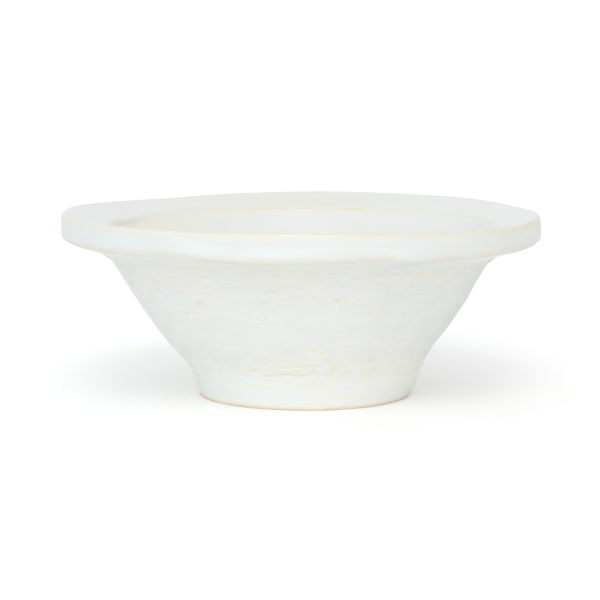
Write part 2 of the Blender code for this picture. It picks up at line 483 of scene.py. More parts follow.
def rim_skin(section, at):
    """The rim: glaze thin on its edges, thick and cool on its face, with a wavy low edge and one smeared
    drop.
    Painted shade darkens its face, its top and a wedge at the left of the mouth; painted light lifts its
    underside and the inside below the mouth, and puts cool light on the left of its face.

    Its places are millimetres along the section past the mouth, the top edge and the low edge.
    """
    mouth, top, low = ((at - mark) / MM for mark in (section.mouth, section.top_edge, section.low_edge))
    along = at / section.end
    cloud = 0.7 * drift(along, (26, 40), 54) + 0.5 * drift(along, (58, 90), 55)
    uneven = 0.82 + 0.18 * around_only(70, 51)
    ripple = 0.30 * around_only(30, 52) + 0.18 * around_only(90, 53)
    left = facing(-80, 60)
    inner_left = facing(-115, 36)
    smear = facing(26, 3.6)
    drop = smear * bell(low - 1.0, 2.6)
    # Painted shade with amber: a dark, warm wedge at the left of the mouth.
    amber_and_painted_shade_wedge = bell(mouth + 1.3, 1.2) * facing(-108, 19)
    shelf = ease((low - 0.5) / 1.5) * (1 - 0.8 * smear)
    dish = ease(-top / 1.5) * ease((mouth + 0.5) / 2.0)
    inside = ease(-mouth / 1.6)
    face = ease(top / 2.0) * ease(-low / 2.0)
    relief, lift = rim_shape(mouth, top, low, ripple, drop)
    thin = most(
        rim_lines(mouth, top, low - ripple, uneven, smear), 0.56 * amber_and_painted_shade_wedge, 0.24 * shelf,
        0.20 * dish * ease(np.sin(ANGLE)), 0.34 * inside * inner_left,
        0.40 * face * (1 - 0.75 * left) * np.clip(-cloud, 0, 1))
    # Cool where the glaze pools thick on the face, with painted cool light on its left, and random cloud.
    pool = 0.10 + face * (0.35 + 0.65 * left - 0.15 * RIGHT) + 0.35 * dish * SIDES
    pool = pool + (0.22 + 0.5 * face) * cloud * (1 - inside) + 0.5 * drop
    # Warmer on the top, the front of the face, the inside and the wedge; the face's right end is warmer and
    # darker as painted shade.
    warm = most(
        dish * (0.5 + 0.25 * cloud - 0.5 * SIDES), face * (0.3 * RIGHT + 0.3 * RIGHT ** 4),
        0.48 * face * facing(-3, 44), amber_and_painted_shade_wedge, 0.3 * drop, (0.2 + 0.3 * inner_left) * inside)
    # Painted shade: the face and the top are darkened; painted light lifts the underside, the inside below
    # the mouth on its left and at the sides, and the sides of the top; the face also varies at random with
    # the cloud.
    deep = 1 - 0.55 * shelf - most(0.7 * inner_left, 0.55 * SIDES) * inside - 0.1 * SIDES * dish
    deep = most(deep - 0.14 * face * np.clip(cloud, 0, 1), amber_and_painted_shade_wedge)
    return Skin(relief * MM, lift * MM, thin, pool, warm, deep, 0.15, 0.0)


def tears(run):
    """Listed tears at the front: each a soft bar, exp(-(across / length)^3 - (upward / thickness)^2).

    Slant, thickness and strength change from tear to tear with sines of its number. Those at the far right
    rise to the right.
    """
    torn = 0.0
    for number, (bearing, height, length) in enumerate(FRONT_TEARS):
        across = np.radians(bearing_from(bearing)) * run.radius / MM
        slanting = float(ease((bearing - 36.0) / 6.0))
        slant = 0.2 * math.sin(2.4 * number) + 0.38 * slanting
        upward = run.height / MM - height - slant * across - 0.15 * np.sin(3.0 * across + number)
        thickness = 0.34 + 0.44 * min(length, 1.4) + 0.14 * math.sin(1.7 * number) + 0.15 * slanting
        strength = 0.70 + 0.22 * math.sin(1.3 * number - 3.0)
        bar = np.exp(-np.abs(across / length) ** 3 - (upward / thickness) ** 2)
        torn = np.maximum(torn, strength * bar)
    return torn


def stroke(run, start, end, seed):
    """A thin broken line across the wall, from one bearing and height to another, along a smooth step."""
    taper = 3.0
    half_width = 0.50
    middle = (start[0] + end[0]) / 2
    along = bearing_from(middle) + middle
    height = start[1] + (end[1] - start[1]) * ease((along - start[0]) / (end[0] - start[0]))
    height = height + 0.35 * around_only(120, seed)
    broken = np.clip(0.85 + 0.6 * around_only(150, seed + 1), 0.0, 1.0)
    ends = ease((along - start[0]) / taper) * ease((end[0] - along) / taper)
    return bell(run.height / MM - height, half_width) * broken * ends


def front_marks(run):
    """The tears, the groove above the foot and two more lines at the front."""
    groove = stroke(run, (-23.0, 13.2), (14.0, 14.1), 71)
    second = 0.9 * stroke(run, (-15.0, 16.3), (8.0, 17.4), 73)
    scratch = 0.65 * stroke(run, (7.0, 27.4), (53.0, 25.0), 75)
    return most(tears(run), groove, second, scratch)


def wall_marks(section, run, density, patches, rough, low):
    """Tears, drags, pin marks and a net in the wall, and the lips raised beside them, from 0 to 1.

    They are dents of three sizes on a slightly bent sheet. A lip is the same dents moved a little up or
    down the wall, where nothing is torn. The net lies along the zero lines of a noise.
    """
    total = section.end
    along = run.length / total
    bent = TURN + drift(along, (160, 120), 20) * 0.0010
    bent_along = along + drift(along, (120, 110), 19) * 0.40 * MM / total
    beside = 0.95 * MM / total
    wide = (108, round(total / (1.35 * MM)))
    long = (44, round(total / (1.30 * MM)))
    tiny = (250, round(total / (0.80 * MM)))
    torn = most((1 - 0.3 * rough) * pits(bent, bent_along, wide, density, 21), front_marks(run))
    drag = pits(bent, bent_along, long, density * 0.9, 23)
    small = pits(bent, bent_along, tiny, density, 22)
    lip = most(
        pits(bent, bent_along - beside, wide, density, 21),
        0.8 * pits(bent, bent_along - beside, long, density, 23),
        0.6 * pits(bent, bent_along + beside, wide, density, 21),
        front_marks(run._replace(height=run.height + 1.0 * MM)),
        0.6 * front_marks(run._replace(height=run.height - 1.0 * MM)))
    lip = lip * (1 - most(torn, drag))
    net = drift(bent_along, (84, round(total / (2.2 * MM))), 25)
    netted = patches * most(low * (1 - 0.75 * facing(-36, 20)), 0.5 * rough)
    lace = bell(net, 0.15) * netted
    return torn, drag, small, lace, most(lip, 0.8 * bell(net - 0.42, 0.2) * netted)


def wall_skin(section, run):
    """The wall: torn and dragged in an upper and a lower band, with raised lips beside the tears.

    On the right a flat was pressed in: a shallow parabola that starts at a slanting crease. Painted shade
    darkens the sides, the top under the rim and the right beyond the crease, and painted light lifts the
    lips, the right of the front and the wall just above the foot.
    """
    along = run.length / section.end
    height = run.height / MM
    foot_top = section.sizes.foot_height
    up = (run.height - foot_top) / (section.sizes.rim_seam - foot_top)
    rough = ease((up - 0.42) / 0.3)
    calm = 1 - 0.3 * rough
    low = ease((0.36 - up) / 0.2)
    patch = 0.6 * drift(along, (17, 40), 11) + 0.3 * drift(along, (41, 70), 12)
    patches = np.clip(0.5 + patch, 0.0, 1.0)
    lines = 0.6 * drift(along, (15, 210), 31) + 0.4 * drift(along, (40, 330), 32)
    stripes = 0.6 * drift(along, (46, 100), 33) + 0.4 * drift(along, (80, 170), 34)
    mottle = 0.6 * drift(along, (64, 60), 35) + 0.4 * drift(along, (120, 100), 36)
    front = ease((80 - np.abs(bearing_from(0))) / 20)
    density = 0.10 + 0.60 * rough + 0.70 * ease((0.36 - up) / 0.22)
    density = density * (1 + patch) * (1 - 0.15 * front)
    density = density * (1 + 0.6 * facing(-68, 20) * ease((up - 0.3) / 0.2))
    density = density * (1 - 0.8 * facing(-43, 22) * ease((0.4 - up) / 0.2))
    torn, drag, small, lace, lip = wall_marks(section, run, density, patches, rough, low)
    crease = bearing_from(24.5) - np.maximum(height - 44.4, 0.0) * 1.93
    pressed = np.clip(crease / 50, 0, 1)
    flat = 0.9 * MM * 4 * pressed * (1 - pressed) * ease((height - 24) / 8)
    bulge = 0.8 * MM * bell(height - 25, 4.5) * facing(86, 25)
    relief = 0.13 * lip + 0.05 * lines - 0.22 * torn - 0.10 * small - 0.14 * drag - 0.12 * lace
    relief = relief * (1 - 0.5 * rough) * MM + section.belly(run.height) - flat + bulge
    soft = 0.06 + 0.17 * ease((up - 0.55) / 0.4) + 0.17 * low * (1 - 0.6 * facing(-45, 26))
    soft = soft + 0.14 * stripes + 0.12 * mottle
    fold = bell(crease, 1.3) * ease((height - 44) / 2) * patches
    thin = most(0.84 * torn, 0.68 * calm * lace, 0.3 * small, 0.62 * calm * drag, 0.7 * fold, soft)
    # Cool where the glaze pools and at random, with painted light: the lips are cooler as if lit, and the
    # left side takes painted cool light.
    pool = 0.12 - 0.35 * stripes * (1 - low) - 0.30 * mottle
    pool = pool + (0.78 * calm + 0.30 * low) * lip + 0.35 * facing(-78, 32)
    # Painted shade: warmer and darker towards the right, beyond the crease of the flat, and most at the
    # right edge.
    warm = 0.1 + 0.1 * np.cos(ANGLE) + 0.2 * ease(crease / 3) * ease((50 - crease) / 30)
    warm = warm + 0.85 * facing(88, 22)
    # Painted shade at both sides of the wall, above its lowest part.
    edges = most(0.58 * facing(-88, 24), 0.52 * facing(88, 22)) * ease((up - 0.2) / 0.3)
    # Painted light on the wall just above the foot, less at the front.
    painted_light_above_foot = ease((0.16 - up) / 0.14) * (0.30 - 0.24 * facing(0, 32))
    # Painted shade: darker towards the top under the rim, at the sides and in the torn upper band; painted
    # light on the lips, on the right of the front and above the foot; the mottle varies it at random.
    deep = 0.50 + 0.23 * ease((up - 0.5) / 0.4) + 0.12 * mottle + 0.14 * torn * rough
    deep = (deep + edges - painted_light_above_foot - 0.14 * facing(50, 17)) * (1 - 0.8 * calm * lip)
    return Skin(relief, 0.0, thin, pool, warm, deep, 1.0, 0.0)


def foot_skin(section, at):
    """The foot band: lumps and stains of glaze near its top, smooth below, thinning to a bare edge.
    Painted shade darkens its front.

    Its places are millimetres along the section past the groove, past the foot's edge, and past the line
    where the glaze was wiped off. The edge is lifted a little on the right, and the lift ends on the
    resting face.
    """
    along = at / section.end
    below = (at - section.groove) / MM
    past_edge = (at - section.foot_edge) / MM
    right_side = np.clip(np.cos(ANGLE - math.radians(15)), 0, 1) ** 2
    front = facing(0, 38)
    past_wiped = past_edge + 1.3 + 0.2 * right_side - 0.12 * around_only(46, 61)
    bare = ease(past_wiped / 1.2)
    edge = 0.84 * ease((past_wiped + 1.2) / 2.0)
    streaks = np.clip(0.25 + drift(along, (30, 110), 62), 0, 1)
    stain = 0.58 * streaks * bell(below - 2.6, 1.8)
    veil = 0.38 * np.clip(0.7 + drift(along, (24, 60), 65), 0, 1) * bell(below - 4.8, 1.6)
    veil = veil * (1 - 0.75 * ease((bearing_from(0) - 28) / 25))
    lumps = np.clip(0.25 + 0.35 * facing(-52, 16) + drift(along, (74, 110), 64), 0, 1)
    lumps = lumps * bell(below - 2.0, 1.7)
    cloud = 0.7 * drift(along, (26, 50), 63) + 0.5 * drift(along, (60, 90), 66)
    thin = most(edge, stain, veil, 0.16 - 0.13 * cloud) * (1 - 0.8 * lumps)
    pool = 0.03 + 0.45 * cloud + 1.4 * lumps + 0.3 * front * bell(below - 8.6, 2.2)
    # Painted shade: darker at the front, and varying at random with the cloud.
    deep = 0.20 * front + 0.14 * np.clip(cloud, 0, 1)
    lift = 0.22 * right_side * ease(below / 6.0) * ease((4.0 - past_edge) / 4.0)
    return Skin(0.16 * MM * lumps, lift * MM, thin, pool, 0.0, deep, 0.2, bare)


def hand_shaping(section, run):
    """Slow relief of the outside in millimetres: waves all over, and what the hands left at both sides.

    On the right the wall is flatter, yet full at mid height, and the foot band is full with a hollow above
    it. Fillets run under the rim on both sides, and the rim's left end is pressed in. All of it ends above
    the resting face.
    """
    at = run.length
    along = at / section.end
    height = run.height / MM
    under = (at - section.under_rim) / MM
    from_face = (at - (section.top_edge + section.low_edge) / 2) / MM
    from_underside = (at - (section.low_edge + section.under_rim) / 2) / MM
    waves = 0.22 * drift(along, (9, 11), 3) + 0.07 * drift(along, (26, 24), 5)
    flatter = 0.6 * RIGHT * ease((under + 1.0) / 3.0)
    right_fillet = (0.40 * bell(under - 0.5, 3.0) + 0.85 * bell(under - 2.2, 2.0)) * facing(84, 18)
    left_fillet = (0.35 * bell(from_underside, 4.0) + 0.7 * bell(under, 2.6)) * facing(-86, 20)
    pressed_end = 0.35 * bell(from_face, 6.0) * facing(-90, 14)
    fuller = 1.3 * bell(height - 33.2, 9.4) * facing(84, 24)
    foot_band = (0.8 * bell(height - 6.3, 3.5) - 0.4 * bell(height - 16.0, 4.5)) * facing(78, 22)
    standing = ease(((section.foot_edge - at) / MM - 1.0) / 3.0)
    return (waves - flatter + right_fillet + left_fillet - pressed_end + fuller + foot_band) * standing


def outer_skin(section, run):
    """Relief and glaze of the whole outside, as rim, wall and foot eased into each other at the joints."""
    at = run.length
    wall_start = section.under_rim - 4.5 * MM
    wall_blend = 3.5 * MM
    foot_start = section.groove + 0.4 * MM + 1.6 * MM * drift(at / section.end, (64, 70), 41)
    foot_blend = 3.6 * MM
    to_wall = ease((at - wall_start) / wall_blend)
    to_foot = ease((at - foot_start) / foot_blend)
    shares = (1 - to_wall, to_wall * (1 - to_foot), to_foot)
    skins = (rim_skin(section, at), wall_skin(section, run), foot_skin(section, at))
    mixed = [sum(share * value for share, value in zip(shares, values)) for values in zip(*skins)]
    relief, lift, *glaze = mixed
    relief = relief + hand_shaping(section, run) * MM
    return filled(run, relief, lift + rim_lift(run.height), *glaze)


def inner_skin(section, run):
    """Relief and glaze of the inside: soft finger rings and slow waves, with the glaze even and warm.
    Painted light lifts its upper part on the left and at the sides.
    """
    total = section.inner.length[-1]
    along = run.length / total
    rings = np.sin(math.tau * (run.length / RING_SPACING + TURN)) * RING_DEPTH
    slow = drift(along, (8, 6), 81) * 0.2 * MM
    fade = ease(run.length / RING_FADE) * ease((total - run.length) / RING_FADE)
    upper = ease(run.length / (24 * MM))
    left = facing(-115, 36) * upper
    thin = most(np.clip(drift(along * 0.3, (90, 2), 82) - 0.25, 0, 1) * 0.25, 0.31 * left)
    pool = 0.1 + 0.2 * drift(along, (14, 5), 83)
    warm = 0.2 + 0.2 * drift(along, (11, 4), 84) + 0.3 * left
    # Painted light: the upper inside is lighter on its left and at the sides; elsewhere it takes full
    # painted shade.
    deep = 1.0 - most(0.7 * left, 0.55 * SIDES) * upper
    return filled(run, (rings + slow) * fade, rim_lift(run.height), thin, pool, warm, deep, 0.1, 0.0)


def filled(run, relief, lift, *glaze):
    """A skin whose values all cover the run's whole grid, with the glaze values held between 0 and 1."""
    shape = (len(run.length), COLUMNS)
    held = [np.clip(value, 0.0, 1.0) for value in glaze]
    return Skin(*(np.broadcast_to(value, shape) for value in (relief, lift, *held)))


def joined(skins):
    """Skins of several runs, one below the other."""
    return Skin(*(np.vstack(values) for values in zip(*skins)))


def surface(name, points, skin, material, sharp_rows, poles=False):
    """A mesh from a grid of points that closes around, with the glaze values stored on its points.

    Quads join each row to the next. The last row of a ring's section joins its first. A disc's first and
    last rows close in triangles around a pole at their middle instead. Sharp rows end a surface at a joint.
    """
    rows = points.shape[0]
    row = np.arange(rows - 1 if poles else rows)[:, None]
    column = np.arange(COLUMNS)[None, :]
    after = (column + 1) % COLUMNS
    here = row * COLUMNS
    below = (row + 1) % rows * COLUMNS
    corners = [here + column, below + column, below + after, here + after]
    around = [column, column, column + 1, column + 1]
    along = [row, row + 1, row + 1, row]
    faces = [np.stack(np.broadcast_arrays(*corners), axis=-1).reshape(-1, 4)]
    places = [grid_places(around, along, len(row))]
    values = {label: getattr(skin, label) for label in GLAZE}
    points = points.reshape(-1, 3)
    if poles:
        last = (rows - 1) * COLUMNS
        top, bottom = rows * COLUMNS, rows * COLUMNS + 1
        fans = ((top, column, after), (last + column, bottom, last + after))
        faces.extend(np.stack(np.broadcast_arrays(*fan), axis=-1).reshape(-1, 3) for fan in fans)
        places.append(grid_places([column + 0.5, column, column + 1], [0, 0, 0], 1))
        places.append(grid_places([column, column + 0.5, column + 1], [1, 1, 1], 1))
        points = np.vstack([points, points[:COLUMNS].mean(axis=0), points[last:].mean(axis=0)])
        for label, grid in values.items():
            values[label] = np.append(grid, (grid[0].mean(), grid[-1].mean()))
    sizes = np.concatenate([np.full(len(block), block.shape[1]) for block in faces])
    indices = np.concatenate([block.ravel() for block in faces])
    mesh = bpy.data.meshes.new(name)
    mesh.vertices.add(len(points))
    mesh.vertices.foreach_set("co", points.astype(np.float32).ravel())
    mesh.loops.add(len(indices))
    mesh.loops.foreach_set("vertex_index", indices.astype(np.int32))
    mesh.polygons.add(len(sizes))
    mesh.polygons.foreach_set("loop_start", (np.cumsum(sizes) - sizes).astype(np.int32))
    mesh.update(calc_edges=True)
    mesh.uv_layers.new(name=BAKE_MAP).uv.foreach_set("vector", np.concatenate(places).astype(np.float32))
    for label, value in values.items():
        value = np.ascontiguousarray(value, dtype=np.float32)
        mesh.attributes.new(label, "FLOAT", "POINT").data.foreach_set("value", value.ravel())
    mark_sharp(mesh, sharp_rows)
    mesh.materials.append(material)
    piece = bpy.data.objects.new(name, mesh)
    bpy.context.scene.collection.objects.link(piece)
    return piece


def grid_places(around, along, rows):
    """Places of face corners on the bake map: the shares of the way around and along the section."""
    across = np.stack(np.broadcast_arrays(*around), axis=-1) / COLUMNS
    upward = np.stack(np.broadcast_arrays(*along), axis=-1) / rows
    return np.stack(np.broadcast_arrays(across, upward), axis=-1).ravel()


def mark_sharp(mesh, sharp_rows):
    """Shade a mesh smooth, with the edges that run along the given rows kept sharp."""
    mesh.shade_smooth()
    ends = np.empty(len(mesh.edges) * 2, dtype=np.int32)
    mesh.edges.foreach_get("vertices", ends)
    row = ends.reshape(-1, 2) // COLUMNS
    sharp = (row[:, 0] == row[:, 1]) & np.isin(row[:, 0], sharp_rows)
    layer = mesh.attributes.get("sharp_edge") or mesh.attributes.new("sharp_edge", "BOOLEAN", "EDGE")
    layer.data.foreach_set("value", sharp)


def node(tree, kind, inputs=(), **settings):
    """A shader node with its settings, and its inputs set to plain values or linked from sockets."""
    made = tree.nodes.new(kind)
    for name, value in settings.items():
        setattr(made, name, value)
    for socket, value in dict(inputs).items():
        if isinstance(value, bpy.types.NodeSocket):
            tree.links.new(value, made.inputs[socket])
        else:
            made.inputs[socket].default_value = value
    return made


def blend(tree, share, first, second):
    """The colour that goes from first to second as share goes from 0 to 1."""
    mix = node(tree, "ShaderNodeMix", {0: share, 6: first, 7: second}, data_type="RGBA")
    return mix.outputs[2]


def spread(tree, value, low, high, to_low=0.0, to_high=1.0):
    """A value carried smoothly from the span low to high onto another span."""
    inputs = {"Value": value, "From Min": low, "From Max": high, "To Min": to_low, "To Max": to_high}
    return node(tree, "ShaderNodeMapRange", inputs, interpolation_type="SMOOTHSTEP").outputs["Result"]


def sums(tree, operation, first, second):
    """The result of one sum on two values or sockets."""
    return node(tree, "ShaderNodeMath", {0: first, 1: second}, operation=operation).outputs[0]


def noise(tree, place, scale, detail=2.0):
    """Noise from 0 to 1, with scale cells to the metre."""
    inputs = {"Vector": place, "Scale": scale, "Detail": detail}
    return node(tree, "ShaderNodeTexNoise", inputs).outputs["Fac"]


def group_with(name, inputs, outputs):
    """A new shader node group with named float and colour sockets, its tree and its two end nodes."""
    kinds = {float: "NodeSocketFloat", tuple: "NodeSocketColor"}
    tree = bpy.data.node_groups.new(name, "ShaderNodeTree")
    for label, kind in inputs.items():
        tree.interface.new_socket(label, in_out="INPUT", socket_type=kinds[kind])
    for label, kind in outputs.items():
        tree.interface.new_socket(label, in_out="OUTPUT", socket_type=kinds[kind])
    return tree, tree.nodes.new("NodeGroupInput").outputs, tree.nodes.new("NodeGroupOutput").inputs


def glaze_group():
    """Satin glaze: cool where it pools and where light is painted, cream and then amber where it thins,
    darkened where shade is painted, with specks and a fine skin.
    """
    values = ("Thin", "Pool", "Warmth", "Depth", "Deepening", "Specks")
    inputs = {**dict.fromkeys(values, float), **dict.fromkeys(COLOURS, tuple)}
    outputs = {"Color": tuple, "Break": float, "Height": float}
    tree, given, made = group_with("Glaze Break", inputs, outputs)
    place = node(tree, "ShaderNodeTexCoord").outputs["Object"]
    cloud = noise(tree, place, 70.0, 3.0)
    grain = noise(tree, place, 1100.0, 3.0)
    fine = noise(tree, place, 420.0, 4.0)
    cells = node(tree, "ShaderNodeTexVoronoi", {"Vector": place, "Scale": 260.0})
    rare = node(tree, "ShaderNodeSeparateColor", {0: cells.outputs["Color"]}).outputs[0]
    dot = spread(tree, cells.outputs["Distance"], 0.36, 0.10, 0.0, 0.6)
    held = spread(tree, sums(tree, "SUBTRACT", given["Specks"], rare), 0.0, 0.02)
    speck = sums(tree, "MULTIPLY", dot, held)
    thin = sums(tree, "MAXIMUM", given["Thin"], speck)
    rough_edge = sums(tree, "MULTIPLY", sums(tree, "SUBTRACT", grain, 0.5), 0.22)
    ragged = sums(tree, "ADD", thin, sums(tree, "MULTIPLY", rough_edge, spread(tree, thin, 0.02, 0.3)))
    # Cool where the glaze pools, and where light is painted on the lips and the left side.
    cool = sums(tree, "MULTIPLY", given["Pool"], spread(tree, cloud, 0.25, 0.6, 0.6, 1.0))
    colour = blend(tree, given["Warmth"], given["White"], given["Warm"])
    colour = blend(tree, cool, colour, given["Cool"])
    colour = blend(tree, spread(tree, ragged, 0.04, 0.50), colour, given["Cream"])
    colour = blend(tree, spread(tree, ragged, 0.38, 1.05), colour, given["Amber"])
    # Painted shade: lightness taken off by the painted shade value times its strength.
    lightness = sums(tree, "SUBTRACT", 1.0, sums(tree, "MULTIPLY", given["Depth"], given["Deepening"]))
    scaling = {0: colour, "Scale": lightness}
    colour = node(tree, "ShaderNodeVectorMath", scaling, operation="SCALE").outputs[0]
    skin = sums(tree, "ADD", sums(tree, "MULTIPLY", fine, 0.7), sums(tree, "MULTIPLY", speck, -0.8))
    tree.links.new(colour, made["Color"])
    tree.links.new(spread(tree, ragged, 0.1, 0.9), made["Break"])
    tree.links.new(skin, made["Height"])
    return tree


def clay_group():
    """Bare fired clay: warm buff with darker grains and a dry, open skin."""
    tree, given, made = group_with("Bare Clay", {"Clay": tuple}, {"Color": tuple, "Height": float})
    place = node(tree, "ShaderNodeTexCoord").outputs["Object"]
    grains = noise(tree, place, 900.0, 4.0)
    patches = noise(tree, place, 120.0, 2.0)
    grain_tint = (0.72, 0.64, 0.57, 1.0)
    patch_colour = (0.80, 0.66, 0.50, 1.0)
    inputs = {0: 1.0, 6: given["Clay"], 7: grain_tint}
    dark = node(tree, "ShaderNodeMix", inputs, data_type="RGBA", blend_type="MULTIPLY").outputs[2]
    colour = blend(tree, spread(tree, grains, 0.52, 0.72), given["Clay"], dark)
    colour = blend(tree, spread(tree, patches, 0.35, 0.7, 0.0, 0.35), colour, patch_colour)
    tree.links.new(colour, made["Color"])
    tree.links.new(grains, made["Height"])
    return tree


def glaze_material(name, finish, specks):
    """Glazed stoneware that is bare clay where the bare value on its points says so."""
    material = bpy.data.materials.new(name)
    material.use_nodes = True
    tree = material.node_tree
    shader = tree.nodes["Principled BSDF"]
    stored = {label: node(tree, "ShaderNodeAttribute", attribute_name=label).outputs["Fac"]
              for label in GLAZE}
    glaze = node(tree, "ShaderNodeGroup", node_tree=bpy.data.node_groups.get("Glaze Break") or glaze_group())
    clay = node(tree, "ShaderNodeGroup", node_tree=bpy.data.node_groups.get("Bare Clay") or clay_group())
    # The pooled glaze value also carries painted light, and the last value darkens the glaze as painted
    # shade.
    for label, socket in (("thin", "Thin"), ("pool", "Pool"), ("warm", "Warmth"), ("deep", "Depth")):
        tree.links.new(stored[label], glaze.inputs[socket])
    glaze.inputs["Deepening"].default_value = finish.deepening
    glaze.inputs["Specks"].default_value = specks
    for label in COLOURS:
        glaze.inputs[label].default_value = (*getattr(finish, label.lower()), 1.0)
    clay.inputs["Clay"].default_value = (*finish.clay, 1.0)
    colour = blend(tree, stored["bare"], glaze.outputs["Color"], clay.outputs["Color"])
    broken_roughness = finish.roughness + 0.12
    clay_roughness = 0.9
    matt = spread(tree, glaze.outputs["Break"], 0.0, 1.0, finish.roughness, broken_roughness)
    rough = node(tree, "ShaderNodeMix", {0: stored["bare"], 2: matt, 3: clay_roughness}).outputs[0]
    place = node(tree, "ShaderNodeTexCoord").outputs["Object"]
    level_stretch = (0.18, 0.18, 1.0)
    level = node(tree, "ShaderNodeMapping", {"Vector": place, "Scale": level_stretch}).outputs["Vector"]
    scraped = sums(tree, "MULTIPLY", noise(tree, level, 900.0, 3.0), stored["scrape"])
    height = sums(tree, "ADD", glaze.outputs["Height"], scraped)
    heights = {0: stored["bare"], 2: height, 3: clay.outputs["Height"]}
    height = node(tree, "ShaderNodeMix", heights).outputs[0]
    bump = node(tree, "ShaderNodeBump", {"Strength": 0.35, "Distance": 0.0002, "Height": height})
    tree.links.new(colour, shader.inputs["Base Color"])
    tree.links.new(rough, shader.inputs["Roughness"])
    tree.links.new(bump.outputs["Normal"], shader.inputs["Normal"])
    return material


def carried(name, section, runs, skins, material, poles=False):
    """A piece made of runs of the section, one below the other, carried around the axis.

    Each run's first and last rows end a surface at a joint, apart from the rows at a disc's poles.
    """
    points = np.vstack([placed(section, run, skin) for run, skin in zip(runs, skins)])
    ends = np.cumsum([len(run.length) for run in runs])
    sharp_rows = [row for end in ends[:-1] for row in (end - 1, end)]
    if not poles:
        sharp_rows += [0, ends[-1] - 1]
    return surface(name, points, joined(skins), material, sharp_rows, poles)


def finished(piece, cad_node):
    """Put a piece on the bowl's one body, in place of its construction node."""
    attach(piece, "root")
    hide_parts(cad_node)


class BOWL_OT_rim_flange(bpy.types.Operator):
    """Make the heavy dished rim ring."""

    bl_idname = "bowl.rim_flange"
    bl_label = "Rim flange"

    def execute(self, context):
        section = Section(context.scene.bowl_sizes)
        run = run_along(section.outer, section.start, section.under_rim, RIM_ROWS)
        material = glaze_material("rim_glaze", context.scene.bowl_finish, MANY_SPECKS)
        piece = carried("glazed_rim_flange", section, [run], [outer_skin(section, run)], material)
        finished(piece, "rim_flange")
        return {"FINISHED"}


class BOWL_OT_wall(bpy.types.Operator):
    """Make the leaning wall, torn and dragged outside and smooth inside."""

    bl_idname = "bowl.wall"
    bl_label = "Wall"

    def execute(self, context):
        section = Section(context.scene.bowl_sizes)
        outside = run_along(section.outer, section.under_rim, section.groove, WALL_ROWS[0])
        inside = run_along(section.inner, section.inner_joint, section.inner.length[-1], WALL_ROWS[1])
        skins = [outer_skin(section, outside), inner_skin(section, inside)]
        material = glaze_material("wall_glaze", context.scene.bowl_finish, MANY_SPECKS)
        piece = carried("glazed_wall", section, [outside, inside], skins, material)
        finished(piece, "bowl_wall")
        return {"FINISHED"}


class BOWL_OT_foot_ring(bpy.types.Operator):
    """Make the smooth foot band, bare at its lowest edge, and the cove inside it."""

    bl_idname = "bowl.foot_ring"
    bl_label = "Foot ring"

    def execute(self, context):
        section = Section(context.scene.bowl_sizes)
        outside = run_along(section.outer, section.groove, section.end, FOOT_ROWS[0])
        inside = run_along(section.inner, 0.0, section.inner_joint, FOOT_ROWS[1])
        skins = [outer_skin(section, outside), inner_skin(section, inside)]
        material = glaze_material("foot_glaze", context.scene.bowl_finish, FEW_SPECKS)
        piece = carried("glazed_foot_ring", section, [outside, inside], skins, material)
        finished(piece, "foot_ring")
        return {"FINISHED"}


class BOWL_OT_floor_disc(bpy.types.Operator):
    """Make the inside floor, which is bare clay underneath."""

    bl_idname = "bowl.floor_disc"
    bl_label = "Floor disc"

    def execute(self, context):
        sizes = context.scene.bowl_sizes
        section = Section(sizes)
        pole_radius = 1.0 * MM
        path = rounded_path([
            (pole_radius, sizes.floor_top, 0.0),
            (sizes.floor_radius, sizes.floor_top, 0.0),
            (sizes.floor_radius, sizes.recess, 0.0),
            (pole_radius, sizes.recess, 0.0),
        ])
        stretches = zip(path.marks, path.marks[1:], FLOOR_ROWS)
        runs = [run_along(path, start, end, rows) for start, end, rows in stretches]
        skins = [floor_skin(section, run) for run in runs]
        material = glaze_material("floor_glaze", context.scene.bowl_finish, FEW_SPECKS)
        piece = carried("glazed_floor_disc", section, runs, skins, material, poles=True)
        finished(piece, "floor_disc")
        return {"FINISHED"}


def floor_skin(section, run):
    """Relief and glaze of the floor disc: soft rings on top, bare clay below."""
    sizes = section.sizes
    bare = (run.height < sizes.floor_top - 1.0 * MM) * 1.0
    fade = ease((sizes.floor_radius - run.radius) / RING_FADE) * (1 - bare)
    relief = np.sin(math.tau * run.radius / RING_SPACING) * RING_DEPTH * fade
    pool = 0.1 + 0.2 * drift(run.radius / sizes.floor_radius, (6, 4), 91)
    # The top takes full painted shade, as the inside does.
    return filled(run, relief, 0.0, 0.0, pool, 0.2, 1.0, 0.1, bare)


class BOWL_OT_stage(bpy.types.Operator):
    """Make the white floor, the lamps and the camera."""

    bl_idname = "bowl.stage"
    bl_label = "Stage"

    def execute(self, context):
        stage = context.scene.bowl_stage
        make_floor(stage)
        make_sky(stage)
        make_lamps(stage)
        make_camera(stage)
        context.scene.view_settings.view_transform = "Standard"
        return {"FINISHED"}


def seen_directly(tree):
    """1 for rays from the camera or from a reflection, and 0 for rays that light the bowl."""
    path = node(tree, "ShaderNodeLightPath").outputs
    seen = sums(tree, "MAXIMUM", path["Is Camera Ray"], path["Is Glossy Ray"])
    return sums(tree, "MAXIMUM", seen, path["Is Transmission Ray"])


